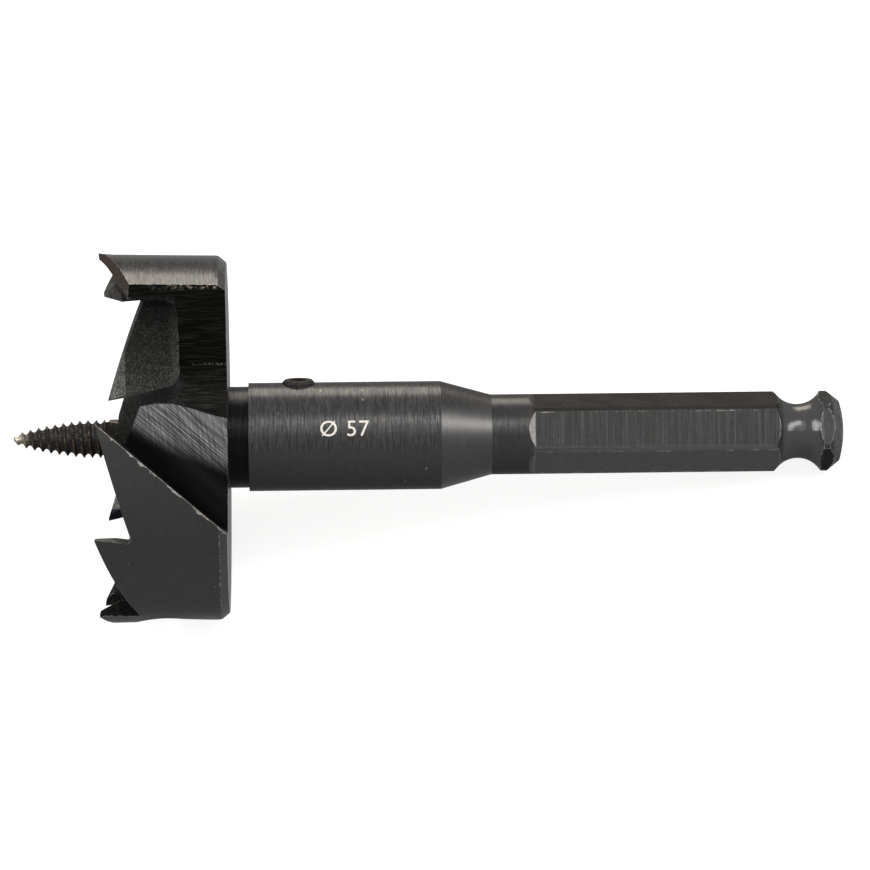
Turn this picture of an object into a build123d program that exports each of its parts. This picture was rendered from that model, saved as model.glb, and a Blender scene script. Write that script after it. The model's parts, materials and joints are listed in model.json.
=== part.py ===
"""Self-feed wood-boring bit for a 57 mm hole, lying as it comes to rest on a bench.

The bit is made of three pieces: the forged and milled body, which is the toothed cutting head
and the shank in one, the replaceable feed screw, and the set screw that clamps it.

Everything is modelled about the bit's own axis, in millimetres: X runs from the head to the
shank with its zero at the back face of the head, and Z points out of the chip throat. Angles
about the axis are counted from Z towards Y, which is also the way the teeth cut. The finished
pieces are laid down together at the end, on the rim of the head and one corner of the shank.
"""

import os
from math import asin, atan2, ceil, cos, degrees, hypot, radians, sin, sqrt, tan

from build123d import *

# Cutting head
head_diameter = 57.15
head_length = 19.65
tooth_tip_land = 0.95
rim_bevel_length = 2.95
flare_length = 2.2
flare_depth = 0.2
back_taper = 0.5
back_chamfer_length = 1.15
back_chamfer_depth = 1.05
heel_land = 0.4
skirt_wall = 3.0
skirt_draft = 2.0
plate_thickness = 7.3
floor_radius = 2.6

# Each tooth: where its tip is about the axis, and the relief angle behind it
teeth = (
    (8.0, 15.6),
    (-31.8, 17.9),
    (-71.0, 17.2),
    (-113.5, 17.2),
    (-152.6, 17.2),
    (-192.2, 17.2),
    (-233.5, 17.2),
    (-270.0, 17.2),
)
throat_tooth_place = -309.7
tooth_rake = 9.0
tooth_tip_width = 0.3
gullet_radius = 0.5
gullet_start = 22.0

# Central boss that carries the feed screw
boss_length = 16.8
boss_face_diameter = 7.6
boss_nose_diameter = 12.6
boss_nose_cone = 17.5
boss_draft = 13.3

# Chip throat and the planing lip beside it
throat_end = 55.0
pocket_radius = 6.35
pocket_gap = 0.1
pocket_place = 31.6
pocket_floor_turn = -35.0
rake_slope = 40.75
rake_offset = 2.28
rake_setback = 0.31
cove_radius = 5.5
cove_width = 13.3
cove_rise = 14.0
cove_height = 8.3

# Ramp that falls from the planing lip to the floor of the cup
lip_setback = 1.15
lip_place = 5.0
lip_lead = 20.0
ramp_end = -115.0
ramp_step = 15.0
ramp_bore_diameter = 11.0

# Ground scoop in the outside of the skirt, to one side of the throat
scoop_place = -90.0
scoop_radius = 16.0
scoop_depth = 0.82
scoop_setback = 9.6
scoop_slope = 3.8

# Shank
collar_diameter = 15.6
collar_length = 3.2
collar_fillet = 0.3
barrel_diameter = 16.72
barrel_length = 29.5
cone_length = 7.8
neck_diameter = 12.4
neck_length = 5.7
hex_across_flats = 11.11
hex_turn = 6.8
hex_length = 38.1
hex_runout = 1.0
hex_end_chamfer = 0.95
groove_lead = 3.7
groove_radius = 4.2
groove_diameter = 8.4
groove_half_width = 3.5
end_land = 1.0
end_chamfer_length = 1.9
end_chamfer_depth = 1.5
end_dome_height = 0.7

# Feed screw, with a plain shank that passes through the boss
screw_diameter = 6.0
screw_reach = 33.06
screw_point_length = 10.9
screw_thread_end = 18.8
screw_thread_depth = 0.67
screw_shank_diameter = 5.9
screw_shoulder_chamfer = 0.7
screw_shank_depth = 18.0
screw_clearance = 0.03
bore_spare = 1.5

# Set screw, with a hexagon socket
set_screw_diameter = 4.95
set_screw_place = 10.9
set_screw_angle = 80.0
set_screw_proud = 0.5
set_screw_chamfer = 0.35
set_screw_key = 2.5
set_screw_socket = 2.4
set_screw_clearance = 0.02
screw_flat_depth = 0.6
screw_flat_margin = 1.2

# Turn about the axis at which the bit rests: its centre of mass hangs straight below the axis
rest_turn = 40.0

# How far a cutting shape stands out past the surface that it cuts
margin = 3.0

# Sizes that follow from the driving dimensions
head_radius = head_diameter / 2
land_radius = head_radius - tooth_tip_land
flare_radius = head_radius - flare_depth
heel_radius = head_radius - back_taper
rim_radius = head_radius - skirt_wall
floor_outer_radius = rim_radius - (head_length - plate_thickness) * tan(radians(skirt_draft))
boss_face_radius = boss_face_diameter / 2
boss_nose_radius = boss_nose_diameter / 2
boss_nose_place = boss_length - (boss_nose_radius - boss_face_radius) * tan(radians(boss_nose_cone))
boss_root_radius = boss_nose_radius + (boss_nose_place - plate_thickness) * tan(radians(boss_draft))

collar_radius = collar_diameter / 2
barrel_radius = barrel_diameter / 2
barrel_end = collar_length + barrel_length
cone_end = barrel_end + cone_length
hex_start = cone_end + neck_length
hex_end = hex_start + hex_length
neck_radius = neck_diameter / 2
flat_distance = hex_across_flats / 2


def groove_surface(offset):
    """Radius of the round groove at a distance along the axis from its middle."""
    return groove_diameter / 2 + groove_radius - sqrt(groove_radius**2 - offset**2)


groove_centre = hex_end + groove_lead
groove_end = groove_centre + groove_half_width
land_end = groove_end + end_land
chamfer_end = land_end + end_chamfer_length
shank_end = chamfer_end + end_dome_height

# The bit lies on the worn land at the heel of its head and the last corner of its shank
heel_place = back_chamfer_length + heel_land
lean = atan2(heel_radius - neck_radius, land_end + heel_place)

screw_shank_radius = screw_shank_diameter / 2
bore_radius = screw_shank_radius + screw_clearance
screw_flat_distance = screw_shank_radius - screw_flat_depth
set_screw_radius = set_screw_diameter / 2
dome_radius = neck_radius - end_chamfer_depth
dome_curve = (dome_radius**2 + end_dome_height**2) / (2 * end_dome_height)
core_radius = (screw_diameter - screw_thread_depth) / 2
core_curve = (core_radius**2 + screw_point_length**2) / (2 * core_radius)
flat_half = set_screw_radius + screw_flat_margin
set_screw_foot = screw_flat_distance + set_screw_clearance
set_screw_top = barrel_radius + set_screw_proud
tolerance = 0.001


def outward(angle):
    """Unit vector square to the axis at an angle about it."""
    return Vector(0, sin(radians(angle)), cos(radians(angle)))


def along(angle):
    """Unit vector round the axis at an angle about it, the way the teeth cut."""
    return Vector(0, cos(radians(angle)), -sin(radians(angle)))


def half_plane(angle):
    """Plane through the axis: x runs along the axis and y outwards at the angle."""
    return Plane(origin=(0, 0, 0), x_dir=(1, 0, 0), z_dir=-along(angle))


def tangent_plane(angle, distance, place=0.0):
    """Plane square to the outward direction: x runs round the axis and y towards the tip."""
    return Plane(
        origin=outward(angle) * distance + Vector(place, 0, 0),
        x_dir=along(angle),
        z_dir=outward(angle),
    )


def cross_plane(place):
    """Plane square to the axis that faces the tip: x is Z of the bit and y is Y."""
    return Plane(origin=(place, 0, 0), x_dir=(0, 0, 1), z_dir=(-1, 0, 0))


# The face beside the throat that the teeth and the planing lip cut with: it is parallel to
# the view into the throat and runs back from the first tooth at the rake slope
rake_normal = Vector(sin(radians(rake_slope)), cos(radians(rake_slope)), 0)
rake_foot = Vector(rake_setback - head_length, rake_offset, 0)
rake_plane = Plane(origin=rake_foot, x_dir=(0, 0, 1), z_dir=rake_normal)

# The pocket outline's two walls touch its round corner and meet at this point behind it
pocket_reach = collar_radius + pocket_radius + pocket_gap
pocket_x = pocket_reach * cos(radians(pocket_place))
pocket_y = pocket_reach * sin(radians(pocket_place))
wall_run_x = head_radius * cos(radians(throat_end)) - pocket_x
wall_run_y = head_radius * sin(radians(throat_end)) - pocket_y
wall_turn = degrees(
    atan2(wall_run_y, wall_run_x) - asin(pocket_radius / hypot(wall_run_x, wall_run_y))
)
pocket_middle = radians((wall_turn + pocket_floor_turn) / 2)
corner_reach = pocket_radius / sin(radians((wall_turn - pocket_floor_turn) / 2))
corner = (
    pocket_x - corner_reach * cos(pocket_middle),
    pocket_y - corner_reach * sin(pocket_middle),
)


def pocket_wall(turn):
    """Point far out along one straight wall of the pocket outline."""
    return (
        corner[0] + head_diameter * cos(radians(turn)),
        corner[1] + head_diameter * sin(radians(turn)),
    )


# The cove is cut beside the rake face by a round-cornered mill that climbs towards the shank
cove_direction = Vector(
    cos(radians(rake_slope)) * cos(radians(cove_rise)),
    -sin(radians(rake_slope)) * cos(radians(cove_rise)),
    sin(radians(cove_rise)),
)
cove_normal = cove_direction.cross(rake_normal)
cove_floor = cove_height - (
    cove_normal.X * rake_foot.X + cove_normal.Y * rake_foot.Y
) / cove_normal.Z
cove_plane = Plane(
    origin=(rake_foot.X, rake_foot.Y, cove_floor), x_dir=rake_normal, z_dir=cove_direction
)

with BuildPart() as throat:
    with BuildSketch(cross_plane(collar_length / 2)) as pocket_outline:
        with BuildLine():
            Polyline(corner, pocket_wall(wall_turn), pocket_wall(pocket_floor_turn), close=True)
        make_face()
        fillet(pocket_outline.vertices().sort_by_distance(corner)[0], radius=pocket_radius)
    extrude(amount=collar_length / 2 + head_length + margin)
    split(bisect_by=rake_plane, keep=Keep.TOP)
    with BuildSketch(cove_plane) as cove_outline:
        Rectangle(cove_width, head_diameter, align=(Align.MIN, Align.MIN))
        fillet(cove_outline.vertices().sort_by_distance((0, 0))[0], radius=cove_radius)
    extrude(amount=head_diameter, both=True)

# The ramp's sections are square to its spiral run, from the throat round to the cup's floor
lip_depth = head_length - lip_setback
ramp_fall = (lip_depth - plate_thickness) / (lip_place - ramp_end)
ramp_stations = ceil((lip_place - ramp_end) / ramp_step) + 1
ramp_angles = [lip_lead] + [lip_place - ramp_step * i for i in range(ramp_stations + 1)]
ramp_inner = ramp_bore_diameter / 2
ramp_outer = (rim_radius + head_radius) / 2

with BuildPart() as ramp:
    for angle in ramp_angles:
        ramp_top = lip_depth - ramp_fall * max(0.0, lip_place - angle)
        with BuildSketch(half_plane(angle)):
            with BuildLine():
                Polyline(
                    (-ramp_top, ramp_inner),
                    (-ramp_top, ramp_outer),
                    (-plate_thickness / 2, ramp_outer),
                    (-plate_thickness / 2, ramp_inner),
                    close=True,
                )
            make_face()
    loft(ruled=True)


def gullet_outline(tip_angle, relief, next_angle):
    """Outline of the gap ground behind one tooth, up to the face of the next."""
    half_span = (tip_angle - next_angle) / 2
    tip = head_radius * sin(radians(half_span))
    fall = tan(radians(relief))
    rake = tan(radians(tooth_rake))
    depth = fall * (2 * tip - tooth_tip_width) / (1 - fall * rake)
    root = (-tip - depth * rake, head_length - depth)
    with BuildSketch(tangent_plane(tip_angle - half_span, gullet_start)) as gap:
        with BuildLine():
            Polyline(
                (tip - tooth_tip_width, head_length),
                root,
                (-tip, head_length),
                (-tip, head_length + margin),
                (tip - tooth_tip_width, head_length + margin),
                close=True,
            )
        make_face()
        fillet(gap.vertices().sort_by_distance(root)[0], radius=gullet_radius)
    return gap.sketch


def flat_outline(angle):
    """Side outline of the metal milled off one flat of the shank, with its sloping run-out."""
    run_out = hex_runout / (neck_radius - flat_distance)
    outside = neck_radius + margin
    with BuildSketch(half_plane(angle)) as milled:
        with BuildLine():
            Polyline(
                (hex_start + hex_runout, flat_distance),
                (shank_end + margin, flat_distance),
                (shank_end + margin, outside),
                (hex_start + hex_runout - run_out * (outside - flat_distance), outside),
                close=True,
            )
        make_face()
    return milled.sketch


with BuildPart() as bit_body:
    # Cup, boss and shank as they come off the lathe
    with BuildSketch(half_plane(0)):
        with BuildLine():
            Polyline(
                (-boss_length, 0),
                (-boss_length, boss_face_radius),
                (-boss_nose_place, boss_nose_radius),
                (-plate_thickness, boss_root_radius),
                (-plate_thickness, floor_outer_radius),
                (rim_bevel_length - head_length, rim_radius),
                (-head_length, land_radius),
                (-head_length, head_radius),
                (flare_length - head_length, flare_radius),
                (-heel_place, heel_radius),
                (-back_chamfer_length, heel_radius - heel_land * tan(lean)),
                (0, heel_radius - back_chamfer_depth),
                (0, collar_radius),
                (collar_length, collar_radius),
                (collar_length, barrel_radius),
                (barrel_end, barrel_radius),
                (cone_end, neck_radius),
                (hex_end, neck_radius),
                (hex_end + hex_end_chamfer, groove_surface(groove_lead - hex_end_chamfer)),
            )
            ThreePointArc(
                (hex_end + hex_end_chamfer, groove_surface(groove_lead - hex_end_chamfer)),
                (groove_centre, groove_surface(0)),
                (groove_end, groove_surface(groove_half_width)),
            )
            Polyline(
                (groove_end, groove_surface(groove_half_width)),
                (groove_end, neck_radius),
                (land_end, neck_radius),
                (chamfer_end, dome_radius),
            )
            RadiusArc((chamfer_end, dome_radius), (shank_end, 0), dome_curve)
            Line((shank_end, 0), (-boss_length, 0))
        make_face()
    revolve(axis=Axis.X)
    floor_edges = bit_body.edges().filter_by(GeomType.CIRCLE).filter_by(
        lambda edge: abs(edge.arc_center.X + plate_thickness) < tolerance
    )
    fillet(floor_edges, radius=floor_radius)
    collar_edges = bit_body.edges().filter_by(GeomType.CIRCLE).filter_by(
        lambda edge: abs(edge.arc_center.X) < tolerance and edge.radius < barrel_radius
    )
    fillet(collar_edges, radius=collar_fillet)

    # Ramp, throat and scoop of the head
    add(ramp.part)
    add(throat.part, mode=Mode.SUBTRACT)
    with BuildSketch(half_plane(scoop_place)):
        scoop_floor = flare_radius - scoop_depth
        with Locations((-scoop_setback, scoop_floor + scoop_radius)):
            Circle(scoop_radius)
        with BuildLine():
            Polyline(
                (-scoop_setback, scoop_floor),
                (0, scoop_floor + scoop_setback * tan(radians(scoop_slope))),
                (0, head_radius + margin),
                (-scoop_setback, head_radius + margin),
                close=True,
            )
        make_face()
    extrude(amount=head_radius, both=True, mode=Mode.SUBTRACT)

    # Teeth
    for (place, relief), following in zip(teeth, teeth[1:] + ((throat_tooth_place, 0),)):
        gullet = gullet_outline(place, relief, following[0])
        extrude(gullet, amount=head_radius - gullet_start + margin, mode=Mode.SUBTRACT)

    # Flats of the shank
    for side in range(6):
        flat = flat_outline(hex_turn + 60 * side)
        extrude(flat, amount=neck_radius, both=True, mode=Mode.SUBTRACT)

    # Bore for the feed screw and hole for the set screw that clamps it
    with BuildSketch(cross_plane(screw_shank_depth + bore_spare)):
        Circle(bore_radius)
    extrude(amount=screw_shank_depth + bore_spare + head_length, mode=Mode.SUBTRACT)
    with BuildSketch(tangent_plane(set_screw_angle, 0, set_screw_place)):
        Circle(set_screw_radius + set_screw_clearance)
    extrude(amount=barrel_radius + margin, mode=Mode.SUBTRACT)
bit_body.part.label = "bit_body"

with BuildPart() as feed_screw:
    with BuildSketch(half_plane(0)):
        with BuildLine():
            RadiusArc((-screw_reach, 0), (screw_point_length - screw_reach, core_radius), core_curve)
            Polyline(
                (screw_point_length - screw_reach, core_radius),
                (-screw_thread_end, core_radius),
                (-screw_thread_end, screw_shank_radius - screw_shoulder_chamfer),
                (screw_shoulder_chamfer - screw_thread_end, screw_shank_radius),
                (screw_shank_depth - screw_shoulder_chamfer, screw_shank_radius),
                (screw_shank_depth, screw_shank_radius - screw_shoulder_chamfer),
                (screw_shank_depth, 0),
                (-screw_reach, 0),
            )
        make_face()
    revolve(axis=Axis.X)
    # Flat that the set screw bears on
    with BuildSketch(half_plane(set_screw_angle)):
        with BuildLine():
            Polyline(
                (set_screw_place - flat_half, screw_flat_distance),
                (set_screw_place - flat_half, head_radius),
                (set_screw_place + flat_half, head_radius),
                (set_screw_place + flat_half, screw_flat_distance),
                close=True,
            )
        make_face()
    extrude(amount=screw_shank_radius, both=True, mode=Mode.SUBTRACT)
feed_screw.part.label = "feed_screw"

with BuildPart() as set_screw:
    with BuildSketch(tangent_plane(set_screw_angle, set_screw_foot, set_screw_place)):
        Circle(set_screw_radius)
    extrude(amount=set_screw_top - set_screw_foot)
    chamfer(set_screw.edges().filter_by(GeomType.CIRCLE), length=set_screw_chamfer)
    with BuildSketch(tangent_plane(set_screw_angle, set_screw_top, set_screw_place)):
        RegularPolygon(radius=set_screw_key / 2, side_count=6, major_radius=False)
    extrude(amount=-set_screw_socket, mode=Mode.SUBTRACT)
set_screw.part.label = "set_screw"

# Lay the bit down on the heel of the head and the last corner of the shank
laid = Rotation(0, degrees(lean), 0) * Rotation(rest_turn, 0, 0)
extent = Compound([laid * piece.part for piece in (bit_body, feed_screw, set_screw)]).bounding_box()
lying = Location((-extent.center().X, -extent.center().Y, -extent.min.Z)) * laid
bit_body.part.location = lying
feed_screw.part.location = lying
set_screw.part.location = lying

os.makedirs("parts", exist_ok=True)
export_step(bit_body.part, "parts/bit_body.step")
export_step(feed_screw.part, "parts/feed_screw.step")
export_step(set_screw.part, "parts/set_screw.step")
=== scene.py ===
"""Looks of the self-feed wood-boring bit: its steel surfaces, the thread of its feed screw and
the number etched on its shank, on a pale floor under soft studio light.

Places on the bit are given in its own frame, in millimetres, as in the CAD model: X runs along
the axis from the head to the shank with its zero at the back of the head, Z points out of the
chip throat, and angles about the axis are counted from Z towards Y. In the photograph X points
to the right and Y up, and Z points to the camera.
"""

import json

from math import atan, ceil, cos, pi, radians, sin, tau

import bmesh
import bpy
from mathutils import Matrix, Vector


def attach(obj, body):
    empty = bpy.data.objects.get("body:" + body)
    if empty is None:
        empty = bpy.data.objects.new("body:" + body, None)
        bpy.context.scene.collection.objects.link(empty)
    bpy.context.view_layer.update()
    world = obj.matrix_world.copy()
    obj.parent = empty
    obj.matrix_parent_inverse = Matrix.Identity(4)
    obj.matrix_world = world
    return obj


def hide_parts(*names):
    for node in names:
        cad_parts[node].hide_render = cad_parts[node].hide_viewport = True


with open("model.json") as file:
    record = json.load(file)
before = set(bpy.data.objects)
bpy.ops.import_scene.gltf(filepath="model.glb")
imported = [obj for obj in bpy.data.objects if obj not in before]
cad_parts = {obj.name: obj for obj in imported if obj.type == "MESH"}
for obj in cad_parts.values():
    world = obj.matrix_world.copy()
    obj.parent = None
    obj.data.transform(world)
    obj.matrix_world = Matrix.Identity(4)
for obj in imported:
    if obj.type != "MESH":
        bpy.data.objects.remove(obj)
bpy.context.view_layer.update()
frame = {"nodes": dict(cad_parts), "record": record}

MM = 0.001

# The bit's own frame, from the shank's two mounts in the record
FLAT_ANGLE = radians(66.8)
SHANK_END = 95.1
mounts = {mount["name"]: mount for mount in frame["record"]["mounts"]}
axis = Vector(mounts["hex_shank"]["axis"]).normalized()
flat_normal = Vector(mounts["shank_flat"]["axis"]).normalized()
bit_z = flat_normal * cos(FLAT_ANGLE) - flat_normal.cross(axis) * sin(FLAT_ANGLE)
bit_y = bit_z.cross(axis)
bit_frame = Matrix((axis, bit_y, bit_z)).transposed().to_4x4()
bit_frame.translation = Vector(mounts["hex_shank"]["pos_m"]) - axis * SHANK_END * MM


def outward(angle):
    """Unit vector square to the axis at an angle about it, in the bit's frame."""
    return Vector((0, sin(angle), cos(angle)))


def at(place):
    """A place on the bit, in millimetres, as a point of the scene."""
    return bit_frame @ (Vector(place) * MM)


# ---------------------------------------------------------------- node helpers


class Shader:
    """A node material, built by chaining sockets. A mask is a socket that is 1 on one surface."""

    def __init__(self, name):
        self.material = bpy.data.materials.new(name)
        self.material.use_nodes = True
        self.tree = self.material.node_tree
        self.tree.nodes.clear()
        self.out = self.tree.nodes.new("ShaderNodeOutputMaterial")

    def feed(self, socket, value):
        """Links a socket to an input, or sets the input's own value."""
        if isinstance(value, bpy.types.NodeSocket):
            self.tree.links.new(value, socket)
        else:
            socket.default_value = value

    def node(self, kind, settings=(), **inputs):
        """Adds a node; inputs are sockets or values, by name with _ for a space or by index i0."""
        node = self.tree.nodes.new("ShaderNode" + kind)
        for key, value in dict(settings).items():
            setattr(node, key, value)
        for key, value in inputs.items():
            by_index = key[0] == "i" and key[1:].isdigit()
            self.feed(node.inputs[int(key[1:]) if by_index else key.replace("_", " ")], value)
        return node

    # Numbers

    def math(self, operation, a, b=0.0):
        return self.node("Math", {"operation": operation}, i0=a, i1=b).outputs[0]

    def linear(self, value, slope, offset):
        """The value times the slope, plus the offset."""
        settings = {"operation": "MULTIPLY_ADD"}
        return self.node("Math", settings, i0=value, i1=slope, i2=offset).outputs[0]

    def times(self, first, *others):
        """The product of numbers; of masks, where all of them hold."""
        for other in others:
            first = self.math("MULTIPLY", first, other)
        return first

    def most(self, first, *others):
        """The greatest of numbers; of masks, where any of them holds."""
        for other in others:
            first = self.math("MAXIMUM", first, other)
        return first

    def least(self, a, b):
        return self.math("MINIMUM", a, b)

    def minus(self, a, b):
        return self.math("SUBTRACT", a, b)

    def absolute(self, value):
        return self.math("ABSOLUTE", value)

    def without(self, mask):
        """Where a mask doesn't hold."""
        return self.minus(1.0, mask)

    def step(self, value, start, end, before=0.0, after=1.0):
        """Goes smoothly from one number to another while the value goes from start to end."""
        if start > end:
            start, end, before, after = end, start, after, before
        return self.node("MapRange", {"interpolation_type": "SMOOTHSTEP"}, Value=value,
                         From_Min=start, From_Max=end, To_Min=before, To_Max=after).outputs[0]

    def between(self, value, low, high, blur):
        """1 where the value is between low and high, 0 elsewhere."""
        return self.times(self.step(value, low - blur, low + blur),
                          self.step(value, high + blur, high - blur))

    def blend(self, factor, a, b):
        """Mixes two numbers."""
        return self.node("Mix", {"data_type": "FLOAT"}, i0=factor, i2=a, i3=b).outputs[0]

    # Vectors

    def vector(self, operation, a, *b):
        node = self.node("VectorMath", {"operation": operation}, i0=a)
        for value in b:
            self.feed(node.inputs[1], value)
        return node.outputs["Value" if operation == "DOT_PRODUCT" else "Vector"]

    def dot(self, vector, direction, offset=0.0):
        """How far a place is along a direction, plus an offset."""
        reach = self.vector("DOT_PRODUCT", vector, tuple(direction))
        return self.math("ADD", reach, offset) if offset else reach

    def combine(self, x, y, z=0.0):
        return self.node("CombineXYZ", X=x, Y=y, Z=z).outputs[0]

    def split(self, vector):
        return list(self.node("SeparateXYZ", Vector=vector).outputs)

    def stretch(self, vector, *factors):
        """A place with its coordinates multiplied, for a pattern that is drawn out."""
        return self.vector("MULTIPLY", vector, factors)

    def scaled(self, vector, factor):
        """A vector made longer, or a colour made lighter, by a factor."""
        return self.node("VectorMath", {"operation": "SCALE"}, i0=vector, Scale=factor).outputs[0]

    # Patterns and colours

    def noise(self, vector, scale, detail=2.0, roughness=0.5):
        return self.node("TexNoise", {"noise_dimensions": "3D"}, Vector=vector, Scale=scale,
                         Detail=detail, Roughness=roughness).outputs[0]

    def mix(self, factor, a, b):
        """Mixes two colours."""
        node = self.node("Mix", {"data_type": "RGBA"}, i0=factor)
        for index, value in ((6, a), (7, b)):
            self.feed(node.inputs[index], (*value, 1.0) if isinstance(value, tuple) else value)
        return node.outputs[2]

    def shade(self, colour, where, factor):
        """A colour made lighter, or darker, by a factor where a mask holds."""
        return self.scaled(colour, self.blend(where, 1.0, factor))

    def bump(self, height, distance, strength=1.0, normal=None):
        node = self.node("Bump", {}, Height=height, Distance=distance * MM, Strength=strength)
        if normal:
            self.feed(node.inputs["Normal"], normal)
        return node.outputs[0]

    def finish(self, colour, roughness, normal, metallic=0.5, specular=0.25, grazing=0.3):
        """The finished material; grazing tints what it mirrors at a low angle."""
        if isinstance(grazing, float):
            grazing = (grazing, grazing, grazing, 1)
        shader = self.node("BsdfPrincipled", {}, Base_Color=colour, Roughness=roughness,
                           Normal=normal, Metallic=metallic, Specular_IOR_Level=specular,
                           Specular_Tint=grazing)
        self.feed(self.out.inputs["Surface"], shader.outputs[0])
        return self.material


class BitShader(Shader):
    """A node material that knows its place on the bit."""

    def __init__(self, name):
        super().__init__(name)
        to_bit = bit_frame.inverted()
        self.place = self.node("Mapping", {"vector_type": "POINT"},
                               Vector=self.node("TexCoord").outputs["Object"],
                               Location=to_bit.translation / MM, Rotation=to_bit.to_euler(),
                               Scale=(1 / MM, 1 / MM, 1 / MM)).outputs[0]

    def patches(self, scale, detail, roughness, low, high):
        """A mask of patches, where the noise is over a level."""
        return self.step(self.noise(self.place, scale, detail, roughness), low, high)

    def face_normal(self):
        """The face's normal in the bit's frame."""
        return self.node("Mapping", {"vector_type": "NORMAL"},
                         Vector=self.node("NewGeometry").outputs["True Normal"],
                         Rotation=bit_frame.inverted().to_euler()).outputs[0]

    def turned_normal(self, direction, where):
        """The steel's normal, with a direction given in the bit's frame in its place somewhere."""
        wanted = self.node("Mapping", {"vector_type": "NORMAL"}, Vector=direction,
                           Rotation=bit_frame.to_euler()).outputs[0]
        plain = self.node("NewGeometry").outputs["Normal"]
        apart = self.vector("SUBTRACT", wanted, plain)
        return self.vector("ADD", plain, self.scaled(apart, where))

    def edge_turn(self, radius):
        """1 on the faces of the steel, and less the sharper the edge that is near."""
        rounded = self.node("Bevel", {"samples": 6}, Radius=radius * MM).outputs[0]
        return self.vector("DOT_PRODUCT", rounded, self.node("NewGeometry").outputs["Normal"])

    def sharp_edges(self, edge_turn):
        """1 on the sharp outer edges of the steel, 0 on its faces."""
        return self.step(edge_turn, 0.995, 0.87)


# ---------------------------------------------------------------- steel of the body

# Cutting surfaces of the head, as in the CAD model
RAKE_SLOPE = radians(40.75)
RAKE_FOOT = Vector((-19.34, 2.28, 0))
RAKE_NORMAL = Vector((sin(RAKE_SLOPE), cos(RAKE_SLOPE), 0))
COVE_RISE = radians(14.0)
COVE_RADIUS = 5.5
COVE_HEIGHT = 8.3
COVE_RUN = Vector((cos(RAKE_SLOPE) * cos(COVE_RISE), -sin(RAKE_SLOPE) * cos(COVE_RISE),
                   sin(COVE_RISE)))
COVE_NORMAL = COVE_RUN.cross(RAKE_NORMAL)
PLATE_THICKNESS = 7.3
RIM_BEVEL = -16.7
SKIN_RADIUS = 26.3

# Places along the shank
COLLAR_END = 3.2
BARREL_RADIUS = 8.36
BARREL_END = 32.7
CONE_END = 40.5
NECK_RADIUS = 6.2
HEX_START = 46.2
HEX_END = 84.3
GROOVE_START = HEX_END + 1.1
FACETS_START = HEX_END + 5.6
GROOVE_END = HEX_END + 7.3
LENS_START = (92.9, 93.4)

# The hexagon: radius at which its corners begin, and borders of what shows from above, in Y
CORNER_START = (6.18, 6.195)
HEX_TURN = radians(6.8)
UPPER_EDGE = 3.5
LOWER_EDGE = -2.7
LOWER_LAND = (-2.85, -2.0)
RUN_OUT = (-2.75, 3.6)

# Lines in X and Y that border surfaces of the head, as their slope and offset
COVE_LEFT = (0.389, -15.23)
COVE_TOP = (-0.272, 2.97)
LIT_LINE = (0.40, 4.06)
UNDER_TOOTH_LINE = (0.22, 9.93)
BROWN_LINE = (0.56, 4.26)
COVE_CEILING = 5.25

# Fades: the two places, in X, in Y or outward, between which a mask goes from 0 to 1
PLATE_X = (-PLATE_THICKNESS - 0.6, -PLATE_THICKNESS - 0.2)
THROAT_TOP_Y = (21.0, 21.5)
TEETH_X = (-15.3, -15.8)
TEETH_OUTWARD = (24.0, 24.6)
TOOTH_ROOT_X = (-8.5, -8.2)
TOOTH_ROOT_Y = (9.8, 9.6)
UNDER_TOOTH_Y = (-9.0, -2.0)
POCKET_Y = (17.0, 8.0)
UNDER_SKIRT_X = (-14.6, -14.0)
UNDER_SKIRT_Y = (16.5, 20.5)
SKIRT_CORNER_Y = (20.5, 20.9)
TEETH_BELOW_X = (-12.5, -14.5)
TEETH_BELOW_Y = (-18.5, -19.5)
BROWN_TIP_Y = (24.3, 24.6)
BROWN_FOOT_Y = (22.2, 22.6)
SKIRT_TOP_Y = (14.0, 18.0)
SKIRT_GLOSS_Y = (10.0, 16.0)
SKIRT_FOOT_Y = (-15.0, -26.0)
HEEL_OUTWARD = (24.5, 25.5)
CONE_LIGHT_Y = (5.4, 3.4)

# Strips of the head, from one place to the other
LIGHT_FACE_Y = (-11.2, -9.0)
DARK_FACE_Y = (-14.5, -11.3)
FOLD_Y = (11.05, 11.4)
UNWORN_Y = (16.0, 21.4)
SKIRT_LINE_X = (-1.26, -1.08)

# Colours of the steel: the dark and the light end of each surface's own pattern; those in shade
# are painted shade, and the bare steel also gives painted glints
PLAIN_STEEL = (0.047, 0.047, 0.048), (0.054, 0.053, 0.051)
GROOVE_STEEL = (0.060, 0.060, 0.062), (0.095, 0.094, 0.092)
UPPER_STEEL_IN_SHADE = (0.016, 0.0145, 0.013), (0.024, 0.022, 0.019)
HEEL_STEEL = (0.13, 0.125, 0.12), (0.27, 0.255, 0.24)
FORGED_STEEL = (0.036, 0.036, 0.033), (0.120, 0.117, 0.110)
BROWN_STEEL = (0.040, 0.029, 0.023), (0.076, 0.055, 0.043)
WALL_STEEL_IN_SHADE = (0.005, 0.005, 0.0045), (0.034, 0.032, 0.028)
COVE_STEEL = (0.048, 0.049, 0.050), (0.175, 0.175, 0.182)
COVE_SHADE = (0.003, 0.003, 0.0034)
TOOTH_SHADE = (0.012, 0.014, 0.022)
FOLD_COLOUR = (0.13, 0.125, 0.11)
BARE_STEEL_AND_GLINT = (0.46, 0.45, 0.43), (0.50, 0.40, 0.32)
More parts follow.
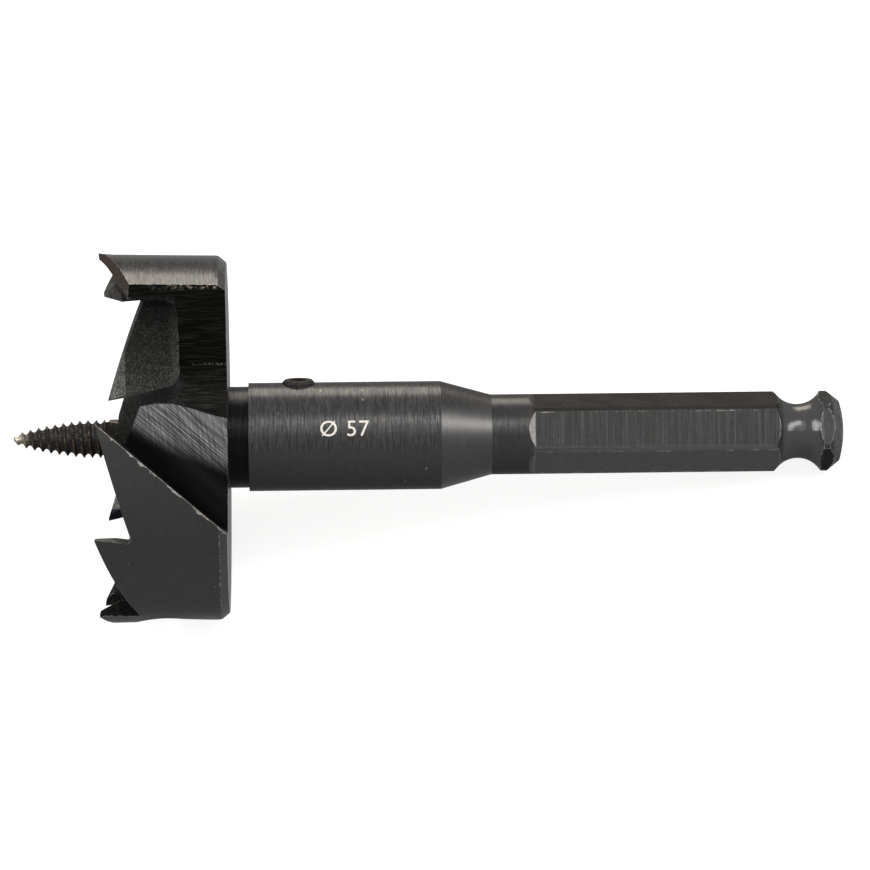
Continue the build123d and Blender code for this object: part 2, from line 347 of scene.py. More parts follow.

# How much lighter than the steel round it each surface looks; many of these tones are painted
# light or shade
CONE_TONE = 0.85
NECK_TONE = 0.88
COLLAR_TONES = (0.14, 0.62)
LENS_TONE = 1.9
FACET_TONES = ((HEX_TURN - pi / 3, 0.40), (HEX_TURN + pi / 3, 0.55))
UPPER_LAND_TONE = 1.7
LOWER_LAND_TONE = 1.8
LOWER_FLAT_TONE = 1.95
SKIRT_TOP_TONE = 1.2
SKIRT_FOOT_TONE = 1.35
HEEL_TONE = 1.4
RIM_TONE = 1.5
POCKET_TONE = 1.55
UNDER_TOOTH_TONE = 0.12
UNDER_SKIRT_TONE = 0.55
SKIRT_CORNER_TONE = 0.45
TEETH_BELOW_TONE = 0.10
LIGHT_FACE_TONE = 0.8

# The cove's milling strokes, and the wear
STROKES_PER_MM = 2.8
STROKE_DEPTH = 0.07
EDGE_RADIUS = 0.16
EDGE_WEAR = (0.75, 0.95)
RUN_OUT_WEAR_AND_GLINT = (0.08, 0.48)
LINE_WEAR = (0.2, 0.6)
CHIP_SIZES = (0.07, 0.40)
NICK_SIZE = 0.15
NICK_WEAR = 0.26
NICKS_PER_MM = 0.62
RELIEF = 0.05


class BodySteel(BitShader):
    """Black-oxide steel: turned, ground, milled and forged, each by its place on the bit."""

    def __init__(self):
        super().__init__("body_steel")
        self.x, self.y, self.z = self.split(self.place)
        self.radius = self.math("SQRT", self.linear(self.y, self.y, self.times(self.z, self.z)))
        self.normal = self.face_normal()
        # How much the face looks along the axis, to the shank, and away from the axis
        self.tilt = self.split(self.normal)[0]
        self.radial = self.vector("NORMALIZE", self.combine(0.0, self.y, self.z))
        self.faces_out = self.vector("DOT_PRODUCT", self.normal, self.radial)
        self.find_shank()
        self.find_head()
        self.draw_patterns()
        self.draw_strokes()

    # Masks of the surfaces

    def find_shank(self):
        """Masks of the surfaces behind the head."""
        x, y, z = self.x, self.y, self.z
        self.collar = self.between(x, 0.05, COLLAR_END - 0.05, 0.02)
        self.cone = self.between(x, BARREL_END, CONE_END, 0.001)
        self.neck = self.between(x, CONE_END, HEX_START, 0.02)
        self.groove = self.between(x, GROOVE_START, GROOVE_END, 0.1)
        corner = self.step(self.radius, *CORNER_START)
        hexagon = self.between(x, HEX_START + 0.6, HEX_END + 0.5, 0.3)
        near_side = self.step(z, 0.0, 0.6)
        self.flats = self.times(hexagon, self.without(corner))
        self.upper_flat = self.times(hexagon, self.step(y, UPPER_EDGE - 0.05, UPPER_EDGE + 0.05),
                                     self.step(z, -0.9, -0.6))
        self.upper_land = self.times(self.upper_flat, corner)
        self.lower_land = self.times(hexagon, corner, self.between(y, *LOWER_LAND, 0.03),
                                     near_side)
        self.lower_flat = self.times(self.flats, near_side,
                                     self.step(y, LOWER_EDGE + 0.1, LOWER_EDGE - 0.1))

    def find_head(self):
        """Masks of the head's surfaces."""
        x, y = self.x, self.y
        self.head = self.step(x, 0.02, -0.02)
        self.outside = self.times(self.step(self.radius, SKIN_RADIUS - 0.1, SKIN_RADIUS + 0.1),
                                  self.step(self.faces_out, 0.5, 0.6))
        self.back = self.step(self.tilt, 0.9, 0.95)
        self.turned = self.most(self.without(self.head), self.outside, self.back)
        self.find_cove()
        self.forged = self.times(self.head, self.without(self.most(self.turned, self.on_cove)))
        upright = self.step(self.absolute(self.tilt), 0.05, 0.02)
        beyond_plate = self.most(self.step(x, *PLATE_X), self.step(y, *THROAT_TOP_Y))
        self.plate_wall = self.times(self.forged, upright, beyond_plate)
        self.rim = self.times(self.forged, self.step(x, RIM_BEVEL + 0.1, RIM_BEVEL - 0.1))
        self.on_teeth = self.times(self.step(x, *TEETH_X), self.step(self.radius, *TEETH_OUTWARD))
        # Under the throat tooth, where little light comes
        under_line = self.step(self.minus(self.linear(x, *UNDER_TOOTH_LINE), y), -0.05, 0.1)
        under_root = self.times(self.step(x, *TOOTH_ROOT_X), self.step(y, *TOOTH_ROOT_Y))
        self.under_tooth = self.times(self.most(under_line, under_root),
                                      self.step(y, *UNDER_TOOTH_Y))

    def find_cove(self):
        """The milled cove: the cutting face, a sloping floor and a round corner between them."""
        x, y = self.x, self.y
        self.from_rake = self.dot(self.place, RAKE_NORMAL, -RAKE_NORMAL.dot(RAKE_FOOT))
        from_floor = self.dot(self.place, COVE_NORMAL, -COVE_NORMAL.z * COVE_HEIGHT)
        short = [self.most(self.minus(COVE_RADIUS, gap), 0.0)
                 for gap in (self.from_rake, from_floor)]
        reach = self.math("SQRT", self.linear(short[0], short[0], self.times(short[1], short[1])))
        off_corner = self.absolute(self.minus(reach, COVE_RADIUS))
        off_flats = self.absolute(self.least(from_floor, self.from_rake))
        # It ends where the rougher metal of the boss and the pocket begins
        inside_left = self.minus(x, self.linear(y, *COVE_LEFT))
        under_top = self.minus(self.least(COVE_CEILING, self.linear(x, *COVE_TOP)), y)
        self.on_cove = self.times(self.step(self.least(off_corner, off_flats), 0.09, 0.05),
                                  self.head, self.without(self.turned),
                                  self.step(self.least(inside_left, under_top), -0.08, 0.08))
        # Light falls on its lower right part only
        self.lit = self.times(self.step(self.math("ADD", self.linear(x, *LIT_LINE), y), -2.2, 1.6),
                              self.step(self.from_rake, 1.2, 4.4))

    # Patterns

    def draw_patterns(self):
        """Fine tool marks square to the axis, and the grain of the steel."""
        x, y, z = self.x, self.y, self.z
        self.fine_lines = self.noise(self.stretch(self.place, 7.0, 0.25, 0.25), 1.0, 2.0, 0.6)
        self.lines = self.noise(self.stretch(self.place, 2.6, 0.10, 0.10), 1.0, 2.0, 0.6)
        self.clouds = self.noise(self.place, 0.25, 3.0, 0.55)
        self.mottle = self.noise(self.place, 1.1, 4.0, 0.65)
        leather = self.combine(self.linear(x, 5.2, self.times(y, -1.6)),
                               self.linear(y, 2.6, self.times(x, 0.9)), self.times(z, 2.8))
        self.grain = self.noise(leather, 1.0, 2.0, 0.6)
        self.fine = self.noise(self.place, 8.0, 2.0, 0.6)
        self.wall_lines = self.noise(self.stretch(self.place, 0.25, 5.0, 5.0), 1.0, 3.0, 0.7)
        # The tool marks show where the surface faces up, and hardly below
        facing_up = self.blend(self.head, self.step(y, -3.0, -1.2), self.step(y, 6.0, 14.0))
        self.ruled = self.times(self.turned, self.blend(facing_up, 0.10, 1.0))

    def draw_strokes(self):
        """Milling strokes of the cove, along its run and a little across it."""
        across = self.dot(self.place, RAKE_NORMAL)
        along = self.dot(self.place, COVE_RUN)
        over = self.dot(self.place, COVE_NORMAL)
        drawn = self.stretch(self.combine(across, over, along), 7.0, 7.0, 0.16)
        wander = self.noise(drawn, 0.25, 1.0, 0.5)
        stroke = self.math("ADD", wander, self.times(across, STROKES_PER_MM))
        wave = self.math("SINE", self.times(stroke, tau))
        self.streaks = self.linear(wave, STROKE_DEPTH,
                                   self.linear(self.noise(drawn, 1.0, 1.0, 0.5), 1.1, -0.05))
        slanted = self.combine(self.linear(along, 0.8, across), over, along)
        self.crossing = self.noise(self.stretch(slanted, 5.0, 0.3, 0.2), 1.0, 2.0, 0.6)

    # Colours

    def tool_tone(self):
        """How light the tool marks are: long and short ones, softer past the barrel."""
        short_marks = self.noise(self.stretch(self.place, 5.5, 0.55, 0.55), 1.0, 1.0, 0.5)
        turned = self.times(self.step(self.fine_lines, 0.3, 0.7, 0.82, 1.18),
                            self.step(self.lines, 0.3, 0.7, 0.92, 1.08),
                            self.step(short_marks, 0.36, 0.64, 0.80, 1.25))
        turned = self.blend(self.step(self.x, BARREL_END, BARREL_END + 0.1), turned,
                            self.linear(turned, 0.45, 0.55))
        ground = self.noise(self.stretch(self.place, 5.5, 0.05, 0.05), 1.0, 3.0, 0.7)
        ground = self.times(self.step(ground, 0.44, 0.70, 0.66, 1.25),
                            self.step(self.fine, 0.35, 0.65, 0.9, 1.1))
        return self.blend(self.flats, turned, ground)

    def turned_colour(self):
        """Colour of the turned and ground surfaces, from the collar to the end and the heel."""
        x, y = self.x, self.y
        colour = self.mix(self.step(self.mottle, 0.35, 0.7), *PLAIN_STEEL)
        colour = self.shade(colour, self.ruled, self.tool_tone())
        colour = self.shade(colour, self.cone, CONE_TONE)
        colour = self.shade(colour, self.neck, NECK_TONE)
        # The collar is darker, partly for its rougher black finish and partly as painted shade
        # from the head, with its top painted lighter
        colour = self.shade(colour, self.collar, self.step(y, 4.6, 5.8, *COLLAR_TONES))
        in_groove = self.mix(self.mottle, *GROOVE_STEEL)
        in_groove = self.scaled(in_groove, self.blend(self.fine_lines, 0.85, 1.15))
        colour = self.mix(self.groove, colour, in_groove)
        colour = self.shade(colour, self.step(x, *LENS_START), LENS_TONE)
        # Painted shade on two of the end's facets, by the way they face
        facets = self.step(x, FACETS_START - 0.1, FACETS_START + 0.1)
        for angle, tone in FACET_TONES:
            facing = self.step(self.dot(self.normal, outward(angle)), 0.990, 0.996)
            colour = self.shade(colour, self.times(facing, facets), tone)
        # Painted light and shade on the hexagon's near side: the upper flat darker, its lands, the
        # lower land and the lower flat lighter
        colour = self.mix(self.upper_flat, colour, self.mix(self.mottle, *UPPER_STEEL_IN_SHADE))
        colour = self.shade(colour, self.upper_land, UPPER_LAND_TONE)
        colour = self.shade(colour, self.lower_land, LOWER_LAND_TONE)
        colour = self.shade(colour, self.lower_flat, LOWER_FLAT_TONE)
        # Painted light: the skirt is a little lighter towards its top and its foot
        for fade, tone in ((SKIRT_TOP_Y, SKIRT_TOP_TONE), (SKIRT_FOOT_Y, SKIRT_FOOT_TONE)):
            colour = self.shade(colour, self.times(self.outside, self.step(y, *fade)), tone)
        # The heel's bevel is a little lighter, and the ring of its back face much lighter
        heel = self.times(self.step(x, 0.06, 0.03), self.step(self.tilt, 0.3, 0.5),
                          self.step(self.radius, *HEEL_OUTWARD))
        pale_ring = self.times(heel, self.step(self.tilt, 0.85, 0.95))
        return self.mix(pale_ring, self.shade(colour, heel, HEEL_TONE),
                        self.mix(self.step(self.mottle, 0.38, 0.62), *HEEL_STEEL))

    def forged_colour(self):
        """Colour of the forged head, painted lighter low down, and darker as painted shade under
        the tooth and on its far side.
        """
        x, y = self.x, self.y
        colour = self.mix(self.step(self.grain, 0.44, 0.64), *FORGED_STEEL)
        colour = self.scaled(colour, self.step(self.mottle, 0.35, 0.65, 0.85, 1.15))
        # Painted light: the forged metal is lighter lower down
        colour = self.scaled(colour, self.step(y, *POCKET_Y, 1.0, POCKET_TONE))
        colour = self.shade(colour, self.rim, RIM_TONE)
        # Painted shade under the throat tooth
        colour = self.shade(colour, self.under_tooth, UNDER_TOOTH_TONE)
        # Painted shade under the skirt, deeper in its corner over the throat
        under_skirt = self.times(self.step(y, *UNDER_SKIRT_Y, 1.0, UNDER_SKIRT_TONE),
                                 self.step(y, *SKIRT_CORNER_Y, 1.0, SKIRT_CORNER_TONE))
        colour = self.shade(colour, self.step(x, *UNDER_SKIRT_X), under_skirt)
        # Painted shade on the lower teeth
        teeth_below = self.times(self.step(y, *TEETH_BELOW_Y), self.step(x, *TEETH_BELOW_X))
        colour = self.shade(colour, teeth_below, TEETH_BELOW_TONE)
        # Painted light and shade on the teeth's faces: the lit face a little darker, the dark face
        # nearly black
        light_face = self.times(self.between(y, *LIGHT_FACE_Y, 0.15), self.on_teeth)
        colour = self.shade(colour, light_face, LIGHT_FACE_TONE)
        dark_face = self.times(self.between(y, *DARK_FACE_Y, 0.1), self.on_teeth)
        colour = self.mix(dark_face, colour, TOOTH_SHADE)
        # The bevel of the top tooth has a brown oxide
        past_line = self.math("ADD", self.linear(y, BROWN_LINE[0], x), BROWN_LINE[1])
        brown = self.most(self.step(y, *BROWN_TIP_Y), self.step(past_line, -0.05, 0.05))
        brown = self.times(brown, self.step(y, *BROWN_FOOT_Y), self.step(self.tilt, -0.1, -0.25))
        return self.mix(brown, colour, self.mix(self.step(self.grain, 0.35, 0.65), *BROWN_STEEL))

    def wall_colour(self):
        """Colour of the throat's wall, nearly black as painted shade, with the broken light line
        of a fold in it.
        """
        colour = self.mix(self.step(self.wall_lines, 0.46, 0.74), *WALL_STEEL_IN_SHADE)
        fold = self.times(self.between(self.y, *FOLD_Y, 0.05), self.step(self.x, -5.8, -5.0),
                          self.patches(2.2, 3.0, 0.7, 0.48, 0.6))
        return self.mix(fold, colour, FOLD_COLOUR)

    def cove_colour(self):
        """Colour of the milled cove, light where the milling strokes catch the light."""
        colour = self.mix(self.step(self.streaks, 0.32, 0.68), *COVE_STEEL)
        colour = self.scaled(colour, self.step(self.crossing, 0.38, 0.62, 0.72, 1.28))
        return self.mix(self.lit, COVE_SHADE, colour)

    # Wear: bright metal shows on the edges, along the cutting edge, and in a few nicks; on the
    # hexagon some of it is painted highlight

    def edge_wear(self):
        """Wear of the outer edges, patchy along them, and strongest on the end's facets."""
        turn = self.edge_turn(EDGE_RADIUS)
        patchy = self.patches(1.3, 3.0, 0.65, 0.43, 0.58)
        by_place = self.step(self.x, HEX_START - 0.5, HEX_START + 0.5, *EDGE_WEAR)
        unworn = self.most(self.under_tooth,
                           self.between(self.x, COLLAR_END - 0.3, COLLAR_END + 0.4, 0.05),
                           self.times(self.forged, self.between(self.y, *UNWORN_Y, 0.2)))
        edges = self.times(self.sharp_edges(turn), self.without(unworn), patchy, by_place)
        at_end = self.times(self.step(turn, 0.998, 0.97),
                            self.step(self.x, HEX_END + 0.2, HEX_END + 0.5))
        return self.most(edges, self.times(at_end, self.blend(patchy, 0.0, 0.8)))

    def hexagon_wear_and_glints(self):
        """Wear along the flats' edges and pale crescents where the flats run out, with painted
        highlights on the near side.
        """
        y = self.y
        along = self.noise(self.stretch(self.place, 0.5, 1.5, 1.5), 1.0, 4.0, 0.75)
        edge = self.times(self.step(self.radius, 6.11, 6.14), self.step(along, 0.52, 0.60),
                          self.flats, self.step(self.faces_out, 0.97, 0.95))
        # On the near side only the upper and the lower edge are bright, as painted highlights; on
        # the far side all the edges are worn
        bright_sides = self.most(self.times(self.between(y, 3.1, 3.45, 0.03), 0.5),
                               self.step(y, LOWER_EDGE + 0.1, LOWER_EDGE),
                               self.step(self.z, 0.0, -0.5))
        # The middle crescent is wear made much brighter as a painted highlight
        run_out = self.times(self.between(self.x, HEX_START - 0.1, HEX_START + 1.6, 0.05),
                             self.step(self.tilt, 0.10, 0.2),
                             self.blend(self.between(y, *RUN_OUT, 0.05), *RUN_OUT_WEAR_AND_GLINT))
        return self.most(self.times(edge, bright_sides, 0.8), run_out)

    def skirt_wear(self):
        """A broken line round the skirt, behind its edge."""
        line = self.times(self.between(self.x, *SKIRT_LINE_X, 0.04),
                          self.step(self.radius, 27.0, 27.2),
                          self.patches(0.9, 4.0, 0.75, 0.50, 0.62))
        return self.times(line, self.step(self.y, 0.0, -1.0, *LINE_WEAR))

    def burr(self):
        """Burr of the skirt's inner edge, over the throat."""
        return self.times(self.step(self.radius, 27.0, 27.7), self.step(self.y, 20.5, 21.0),
                          self.forged, self.patches(1.6, 4.0, 0.75, 0.50, 0.62),
                          self.step(self.x, -13.0, -5.0))

    def cutting_edge(self):
        """The ground cutting edge of the skirt, with its small chips."""
        wide = self.blend(self.patches(0.45, 2.0, 0.6, 0.46, 0.64), *CHIP_SIZES)
        chips = self.times(wide, self.blend(self.noise(self.place, 2.8, 4.0, 0.75), 0.0, 2.0))
        near = self.step(self.minus(self.absolute(self.from_rake), chips), 0.04, -0.06)
        return self.times(near, self.head, self.step(self.radius, 26.4, 27.4))

    def nicks(self):
        """A few small nicks, fainter in the forged metal."""
        drawn = self.stretch(self.place, 1.0, 0.55, 0.75)
        ragged = self.node("TexNoise", Vector=self.place, Scale=2.5).outputs["Color"]
        cell = self.node("TexVoronoi", {"feature": "F1"}, Scale=NICKS_PER_MM,
                         Vector=self.vector("ADD", drawn, self.scaled(ragged, 0.5))).outputs
        chance = self.node("SeparateColor", Color=cell["Color"]).outputs[0]
        size = self.step(chance, 0.84, 1.0, 0.0, NICK_SIZE)
        nicks = self.step(self.minus(cell["Distance"], size), 0.0, -0.05)
        return self.times(nicks, self.linear(self.forged, -0.2, NICK_WEAR))

    def worn(self, colour):
        """The colour with all the wear on it, and the painted highlights of the hexagon."""
        burr, cutting = self.burr(), self.cutting_edge()
        glint = self.patches(1.4, 3.0, 0.7, 0.38, 0.62)
        wear = self.most(self.edge_wear(), self.hexagon_wear_and_glints(), self.skirt_wear(), burr,
                         self.nicks(), self.times(cutting, self.blend(glint, 0.25, 1.0)))
        warm = self.most(self.times(cutting, self.step(self.mottle, 0.50, 0.62)), burr)
        return self.mix(wear, colour, self.mix(warm, *BARE_STEEL_AND_GLINT))

    # Relief and gloss

    def gloss(self):
        """Roughness of each surface."""
        roughness = self.step(self.clouds, 0.35, 0.65, 0.24, 0.30)
        skirt_top = self.times(self.outside, self.step(self.y, *SKIRT_GLOSS_Y))
        for where, value in ((self.cone, 0.35), (self.groove, 0.16), (skirt_top, 0.2),
                             (self.forged, 0.5), (self.on_cove, 0.38)):
            roughness = self.blend(where, roughness, value)
        return roughness

    def relief(self):
        """Height of the tool marks, the forged grain, the milling strokes and the wall's lines."""
        marks = self.times(self.linear(self.fine_lines, 0.45, self.lines), self.ruled)
        relief = self.linear(self.fine, 0.12, self.times(marks, self.blend(self.cone, 0.8, 0.15)))
        relief = self.blend(self.forged, relief, self.linear(self.grain, 3.6, self.fine))
        strokes = self.times(self.linear(self.crossing, 0.5, self.streaks),
                             self.blend(self.lit, 0.15, 1.0))
        relief = self.blend(self.on_cove, relief, strokes)
        return self.blend(self.plate_wall, relief, self.times(self.wall_lines, 1.2))

    def shank_normal(self):
        """The round shank's own true normal, so that a highlight crosses it without a break."""
        taper = (BARREL_RADIUS - NECK_RADIUS) / (CONE_END - BARREL_END)
        true = self.vector("NORMALIZE", self.vector(
            "ADD", self.radial, self.combine(self.times(self.cone, taper), 0.0, 0.0)))
        agree = self.vector("DOT_PRODUCT", self.normal, true)
        is_round = self.times(self.between(self.x, COLLAR_END + 0.1, HEX_START - 0.1, 0.05),
                              self.step(agree, 0.975, 0.985))
        return self.turned_normal(true, is_round)

    def build(self):
        """The finished material: the surfaces one over the other, then the wear and painted
        highlights on them all.
        """
        colour = self.mix(self.forged, self.turned_colour(), self.forged_colour())
        colour = self.mix(self.plate_wall, colour, self.wall_colour())
        colour = self.worn(self.mix(self.on_cove, colour, self.cove_colour()))
        # The cone and the back of the head mirror the light fully, also at a low angle
        lit_cone = self.times(self.cone, self.step(self.y, *CONE_LIGHT_Y))
        bare = self.most(lit_cone, self.times(self.back, self.step(self.x, 0.3, 0.1)))
        normal = self.bump(self.relief(), RELIEF, normal=self.shank_normal())
        return self.finish(colour, self.gloss(), normal, specular=self.blend(lit_cone, 0.25, 1.0),
                           grazing=self.blend(bare, 0.3, 1.0))


# ---------------------------------------------------------------- steel of the screws, and paint


def screw_steel():
    """Steel of the feed screw: dark in its thread, brown and bright on the crests and point."""
    s = BitShader("feed_screw_steel")
    x = s.split(s.place)[0]
    crest = s.node("Attribute", {"attribute_name": "crest"}).outputs["Fac"]
    grain = s.noise(s.place, 4.5, 3.0, 0.7)
    stain = s.noise(s.place, 1.1, 3.0, 0.6)
    colour = s.mix(s.step(grain, 0.4, 0.65), (0.018, 0.016, 0.015), (0.075, 0.068, 0.062))
    brown = s.times(s.step(crest, 0.45, 0.95), s.step(stain, 0.44, 0.62))
    colour = s.mix(brown, colour, (0.20, 0.13, 0.085))
    point = s.times(s.step(x, *WORN_POINT), s.step(stain, 0.25, 0.5))
    worn = s.most(point, s.times(s.step(crest, 0.75, 1.0), s.step(grain, 0.5, 0.7)))
    colour = s.mix(worn, colour, (0.45, 0.40, 0.34))
    shoulder = s.between(x, *SHOULDER, 0.1)
    colour = s.mix(shoulder, colour, s.mix(stain, (0.07, 0.06, 0.05), (0.18, 0.155, 0.13)))
    roughness = s.blend(worn, s.blend(grain, 0.32, 0.5), 0.3)
    return s.finish(colour, roughness, s.bump(grain, 0.05, 0.7))


def set_screw_steel():
    """Black oxide of the set screw, rubbed bright at its rim."""
    s = BitShader("set_screw_steel")
    grain = s.noise(s.place, 3.5, 3.0, 0.6)
    colour = s.mix(s.step(grain, 0.35, 0.7), (0.020, 0.019, 0.019), (0.052, 0.048, 0.044))
    wear = s.times(s.sharp_edges(s.edge_turn(0.1)), s.patches(1.3, 2.0, 0.5, 0.4, 0.6), 0.7)
    colour = s.mix(wear, colour, (0.40, 0.38, 0.34))
    return s.finish(colour, s.blend(grain, 0.34, 0.5), s.bump(grain, 0.02, 0.6))


def etched_paint():
    """The light etched surface of the number on the barrel."""
    s = BitShader("etched_number")
    speckle = s.noise(s.place, 7.0, 2.0, 0.6)
    colour = s.mix(s.step(speckle, 0.3, 0.7), (0.52, 0.47, 0.43), (0.72, 0.68, 0.64))
    return s.finish(colour, 0.6, s.bump(speckle, 0.01, 0.5), metallic=0.0, specular=0.3,
                    grazing=1.0)


# ---------------------------------------------------------------- feed screw

SCREW_TIP = -33.06
SCREW_BLUNT = 0.04
WORN_POINT = (SCREW_TIP + 2.86, SCREW_TIP + 0.46)
SCREW_RADIUS = 3.0
SCREW_POINT = 10.9
SCREW_POINT_CURVE = 0.43
THREAD_PITCH = 1.27
THREAD_DEPTH = 0.67
THREAD_SHARE = 0.45
THREAD_HOLLOW = 0.85
THREAD_CREST = -22.52
THREAD_END = -18.9
SHOULDER_START = -18.8
SHOULDER_CHAMFER = 0.7
SHOULDER = (SHOULDER_START + 0.2, SHOULDER_START + 2.4)
SHANK_ENTRY = -16.8
SHANK_RADIUS = 2.95
SHANK_DEPTH = 18.0
CLAMP_ANGLE = radians(80.0)
CLAMP_START = 7.225
CLAMP_END = 14.575
CLAMP_FLAT = 2.35
CLAMP_STEP = 0.01
STATIONS_PER_TURN = 18
SIDES = 84
SHARP_ANGLE = radians(38)


def add_object(name, mesh, material):
    """Puts a mesh with its material in the scene."""
    mesh.materials.clear()
    mesh.materials.append(material)
    item = bpy.data.objects.new(name, mesh)
    bpy.context.scene.collection.objects.link(item)
    return item


def thread_radius(x, angle):
    """Radius of the threaded end, and how near the point is to the thread's crest."""
    phase = ((x - THREAD_CREST) / THREAD_PITCH + angle / tau) % 1.0
    hollow = sin(pi * phase) ** THREAD_HOLLOW
    along_point = min(1.0, (x - SCREW_TIP) / SCREW_POINT)
    crest = SCREW_RADIUS * along_point ** SCREW_POINT_CURVE
    return crest - min(THREAD_DEPTH, THREAD_SHARE * crest) * hollow, 1.0 - hollow


def shank_radius(x, angle):
    """Radius of the plain end, with its chamfers and the flat for the set screw."""
    from_end = min(x - SHOULDER_START, SHANK_DEPTH - x)
    radius = SHANK_RADIUS - max(0.0, SHOULDER_CHAMFER - from_end)
    facing = cos(angle - CLAMP_ANGLE)
    if CLAMP_START <= x <= CLAMP_END and facing > 0:
        radius = min(radius, CLAMP_FLAT / facing)
    return radius


def feed_screw():
    """Lathe-like skin of the screw, ring by ring from its point to its hidden end."""
    start = SCREW_TIP + SCREW_BLUNT
    steps = ceil((THREAD_END - SCREW_TIP) / THREAD_PITCH * STATIONS_PER_TURN)
    threaded = [start + (THREAD_END - start) * i / steps for i in range(steps + 1)]
    plain = [SHOULDER_START, SHOULDER_START + SHOULDER_CHAMFER, SHANK_ENTRY,
             CLAMP_START - CLAMP_STEP, CLAMP_START, CLAMP_END, CLAMP_END + CLAMP_STEP,
             SHANK_DEPTH - SHOULDER_CHAMFER, SHANK_DEPTH]
    vertices, crests = [(SCREW_TIP, 0, 0)], [1.0]
    for x in threaded + plain:
        for side in range(SIDES):
            angle = tau * side / SIDES
            radius, crest = shank_radius(x, angle), 0.0
            if x <= THREAD_END:
                radius, crest = thread_radius(x, angle)
            vertices.append(tuple(Vector((x, 0, 0)) + outward(angle) * radius))
            crests.append(crest)
    vertices.append((SHANK_DEPTH, 0, 0))
    crests.append(0.0)
    rings = range(1, len(vertices) - 1, SIDES)
    faces = []
    for side in range(SIDES):
        after = (side + 1) % SIDES
        faces.append((0, rings[0] + side, rings[0] + after))
        for low, high in zip(rings, rings[1:]):
            faces.append((low + side, high + side, high + after, low + after))
        faces.append((rings[-1] + side, len(vertices) - 1, rings[-1] + after))
    mesh = bpy.data.meshes.new("threaded_feed_screw")
    mesh.from_pydata([at(v) for v in vertices], [], faces)
    mesh.attributes.new("crest", "FLOAT", "POINT").data.foreach_set("value", crests)
    mesh.shade_smooth()
    mesh.set_sharp_from_angle(angle=SHARP_ANGLE)
    screw = add_object("threaded_feed_screw", mesh, screw_steel())
    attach(screw, "root")
    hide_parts("feed_screw")


# ---------------------------------------------------------------- etched number

NUMBER_HEIGHT = 2.38
NUMBER_START = 14.0
NUMBER_PROUD = 0.03
NUMBER_STRIP = 0.3
NUMBER_SPACING = 1.08
DIGIT_SHARE = 0.69


def flat_number():
    """The number's flat mesh, cut in strips so that it can be wrapped round the barrel."""
    curve = bpy.data.curves.new("number", "FONT")
    curve.body = "Ø 57"
    curve.size = NUMBER_HEIGHT / DIGIT_SHARE
    curve.resolution_u = 6
    curve.space_character = NUMBER_SPACING
    text = bpy.data.objects.new("number", curve)
    bpy.context.scene.collection.objects.link(text)
    graph = bpy.context.evaluated_depsgraph_get()
    mesh = bpy.data.meshes.new_from_object(text.evaluated_get(graph))
    bpy.data.objects.remove(text)
    shape = bmesh.new()
    shape.from_mesh(mesh)
    for line in range(ceil(2 * NUMBER_HEIGHT / NUMBER_STRIP)):
        height = line * NUMBER_STRIP - NUMBER_HEIGHT / 2
        bmesh.ops.bisect_plane(shape, geom=shape.verts[:] + shape.edges[:] + shape.faces[:],
                               plane_co=(0, height, 0), plane_no=(0, 1, 0))
    shape.to_mesh(mesh)
    shape.free()
    return mesh


def etched_number():
    """The diameter in millimetres, wrapped on the barrel."""
    mesh = flat_number()
    for vertex in mesh.vertices:
        along = Vector((NUMBER_START + vertex.co.x, 0, 0))
        up = outward(vertex.co.y / BARREL_RADIUS)
        vertex.co = at(along + up * (BARREL_RADIUS + NUMBER_PROUD))
    number = add_object("etched_number", mesh, etched_paint())
    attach(number, "root")


# ---------------------------------------------------------------- build

for node_name, material in (("bit_body", BodySteel().build()), ("set_screw", set_screw_steel())):
    slots = frame["nodes"][node_name].data.materials
    slots.clear()
    slots.append(material)
feed_screw()
etched_number()

# ---------------------------------------------------------------- floor and light

FLOOR_REACH = 3.0
FLOOR_GREY = 0.32
FLOOR_GREY_MIRRORED = 0.06
FLOOR_GLOW = 0.80
FLOOR_GLARE = 0.35
FLOOR_GLARE_BEHIND = 0.10
BEHIND = (0.22, 0.75)
WORLD_LIGHT = 0.48
LIGHTS_FACE = (32, 0, 0)


def floor_paint():
    """Pale floor: white to the camera, dimmer in the steel, dimmest there behind the bit."""
    s = Shader("floor")
    path = s.node("LightPath").outputs
    mirrored = path["Is Glossy Ray"]
    pale = s.mix(mirrored, (FLOOR_GREY,) * 3, (FLOOR_GREY_MIRRORED,) * 3)
    diffuse = s.node("BsdfDiffuse", Color=pale, Roughness=0.0)
    seen = s.most(path["Is Camera Ray"], path["Is Transmission Ray"])
    across = s.split(s.node("NewGeometry").outputs["Position"])[1]
    glare = s.blend(s.between(across, *BEHIND, 0.08), FLOOR_GLARE, FLOOR_GLARE_BEHIND)
    strength = s.linear(mirrored, glare, s.times(seen, FLOOR_GLOW))
    glow = s.node("Emission", Color=(1, 1, 1, 1), Strength=strength)
    both = s.node("AddShader", i0=diffuse.outputs[0], i1=glow.outputs[0])
    s.feed(s.out.inputs["Surface"], both.outputs[0])
    return s.material


def floor():
    """The plain floor under the bit, which keeps the bit's shadow."""
    mesh = bpy.data.meshes.new("floor")
    corners = [(-1, -1), (1, -1), (1, 1), (-1, 1)]
    mesh.from_pydata([(FLOOR_REACH * x, FLOOR_REACH * y, 0) for x, y in corners], [],
                     [(0, 1, 2, 3)])
    add_object("floor", mesh, floor_paint())


def panel(name, direction, distance, size, power, colour=(1, 1, 1)):
    """Soft light panel, in a direction from the bit: to the right, up and out of the picture."""
    right, up, towards = direction
    aim = (axis * right + bit_y * up + bit_z * towards).normalized()
    lamp = bpy.data.lights.new(name, "AREA")
    lamp.shape = "RECTANGLE"
    lamp.size, lamp.size_y = size
    lamp.energy = power
    lamp.color = colour
    light = bpy.data.objects.new(name, lamp)
    bpy.context.scene.collection.objects.link(light)
    light.location = at(LIGHTS_FACE) + aim * distance
    light.rotation_mode = "QUATERNION"
    light.rotation_quaternion = aim.to_track_quat("Z", "Y")


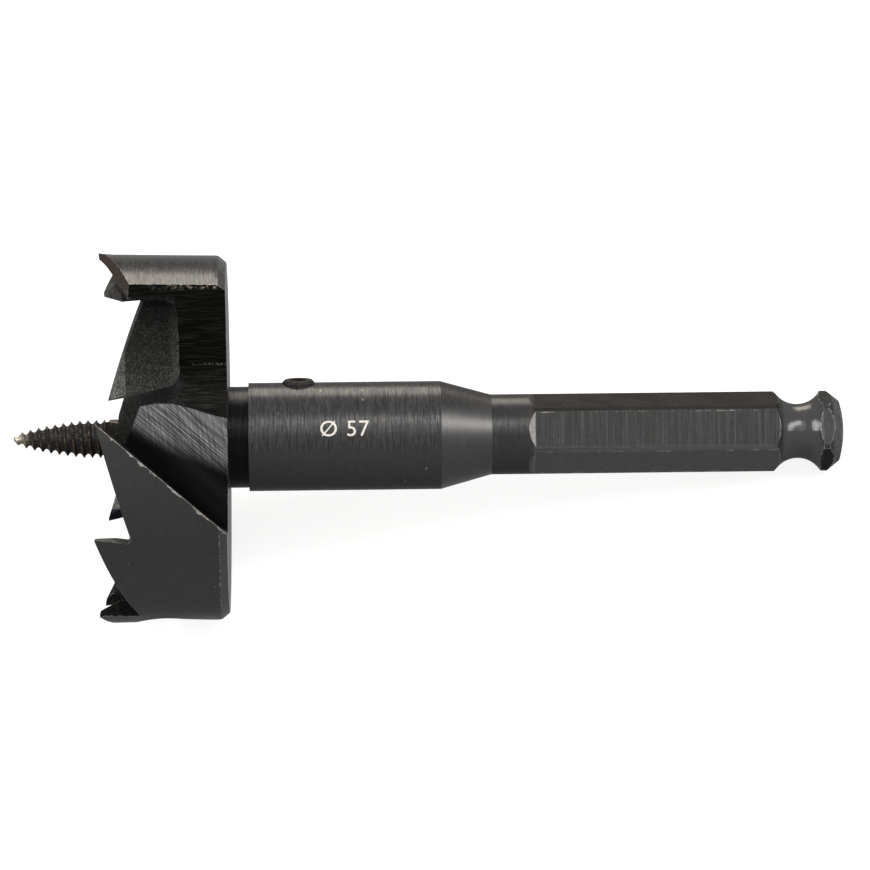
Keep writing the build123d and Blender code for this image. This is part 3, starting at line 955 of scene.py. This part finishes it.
def studio():
    """Soft light from everywhere, in front of a white background."""
    world = bpy.data.worlds.new("studio")
    bpy.context.scene.world = world
    world.use_nodes = True
    tree = world.node_tree
    background = tree.nodes["Background"].inputs
    background["Color"].default_value = (1, 1, 1, 1)
    path = tree.nodes.new("ShaderNodeLightPath")
    level = tree.nodes.new("ShaderNodeMapRange")
    level.inputs["To Min"].default_value = WORLD_LIGHT
    level.inputs["To Max"].default_value = 1.0
    tree.links.new(path.outputs["Is Camera Ray"], level.inputs["Value"])
    tree.links.new(level.outputs[0], background["Strength"])


floor()
panel("back", (0.0, 0.934, -0.358), 1.1, (0.70, 0.52), 7.2, (1.0, 0.91, 0.81))
panel("right", (0.520, 0.425, 0.741), 1.2, (0.36, 1.30), 13.5, (1.0, 0.97, 0.94))
panel("left", (-0.860, 0.260, 0.440), 1.2, (0.50, 0.60), 8.0)
panel("front", (0.0, 0.36, 0.933), 1.2, (0.45, 0.65), 1.5)
studio()

# ---------------------------------------------------------------- camera

# As fitted to the photograph: how far the camera is from the bit's axis, how much it is turned
# along the axis and rolled, the place on the axis that it faces, and its scale
CAMERA_DISTANCE = 0.660
CAMERA_YAW = radians(1.85)
CAMERA_ROLL = atan(0.0113)
CAMERA_FACES = 31.9
CAMERA_REACH = (0.01, 20)
METRES_PER_PIXEL = 0.0001545
PICTURE_WIDTH = 870
SENSOR_WIDTH = 36.0


def photo_camera():
    """The photograph's camera, over the bit."""
    forward = Vector((sin(CAMERA_YAW), 0, -cos(CAMERA_YAW)))
    level_right = Vector((cos(CAMERA_YAW), 0, sin(CAMERA_YAW)))
    level_up = Vector((0, 1, 0))
    right = level_right * cos(CAMERA_ROLL) - level_up * sin(CAMERA_ROLL)
    up = level_up * cos(CAMERA_ROLL) + level_right * sin(CAMERA_ROLL)
    camera_frame = Matrix((right, up, -forward)).transposed().to_4x4()
    camera_frame.translation = Vector((CAMERA_FACES * MM, 0, 0)) - forward * CAMERA_DISTANCE
    camera = bpy.data.objects.new("camera", bpy.data.cameras.new("camera"))
    bpy.context.scene.collection.objects.link(camera)
    camera.matrix_world = bit_frame @ camera_frame
    camera.data.sensor_width = SENSOR_WIDTH
    camera.data.lens = SENSOR_WIDTH * CAMERA_DISTANCE / METRES_PER_PIXEL / PICTURE_WIDTH
    camera.data.clip_start, camera.data.clip_end = CAMERA_REACH
    return camera


bpy.context.scene.camera = photo_camera()
bpy.context.scene.view_settings.view_transform = "Standard"
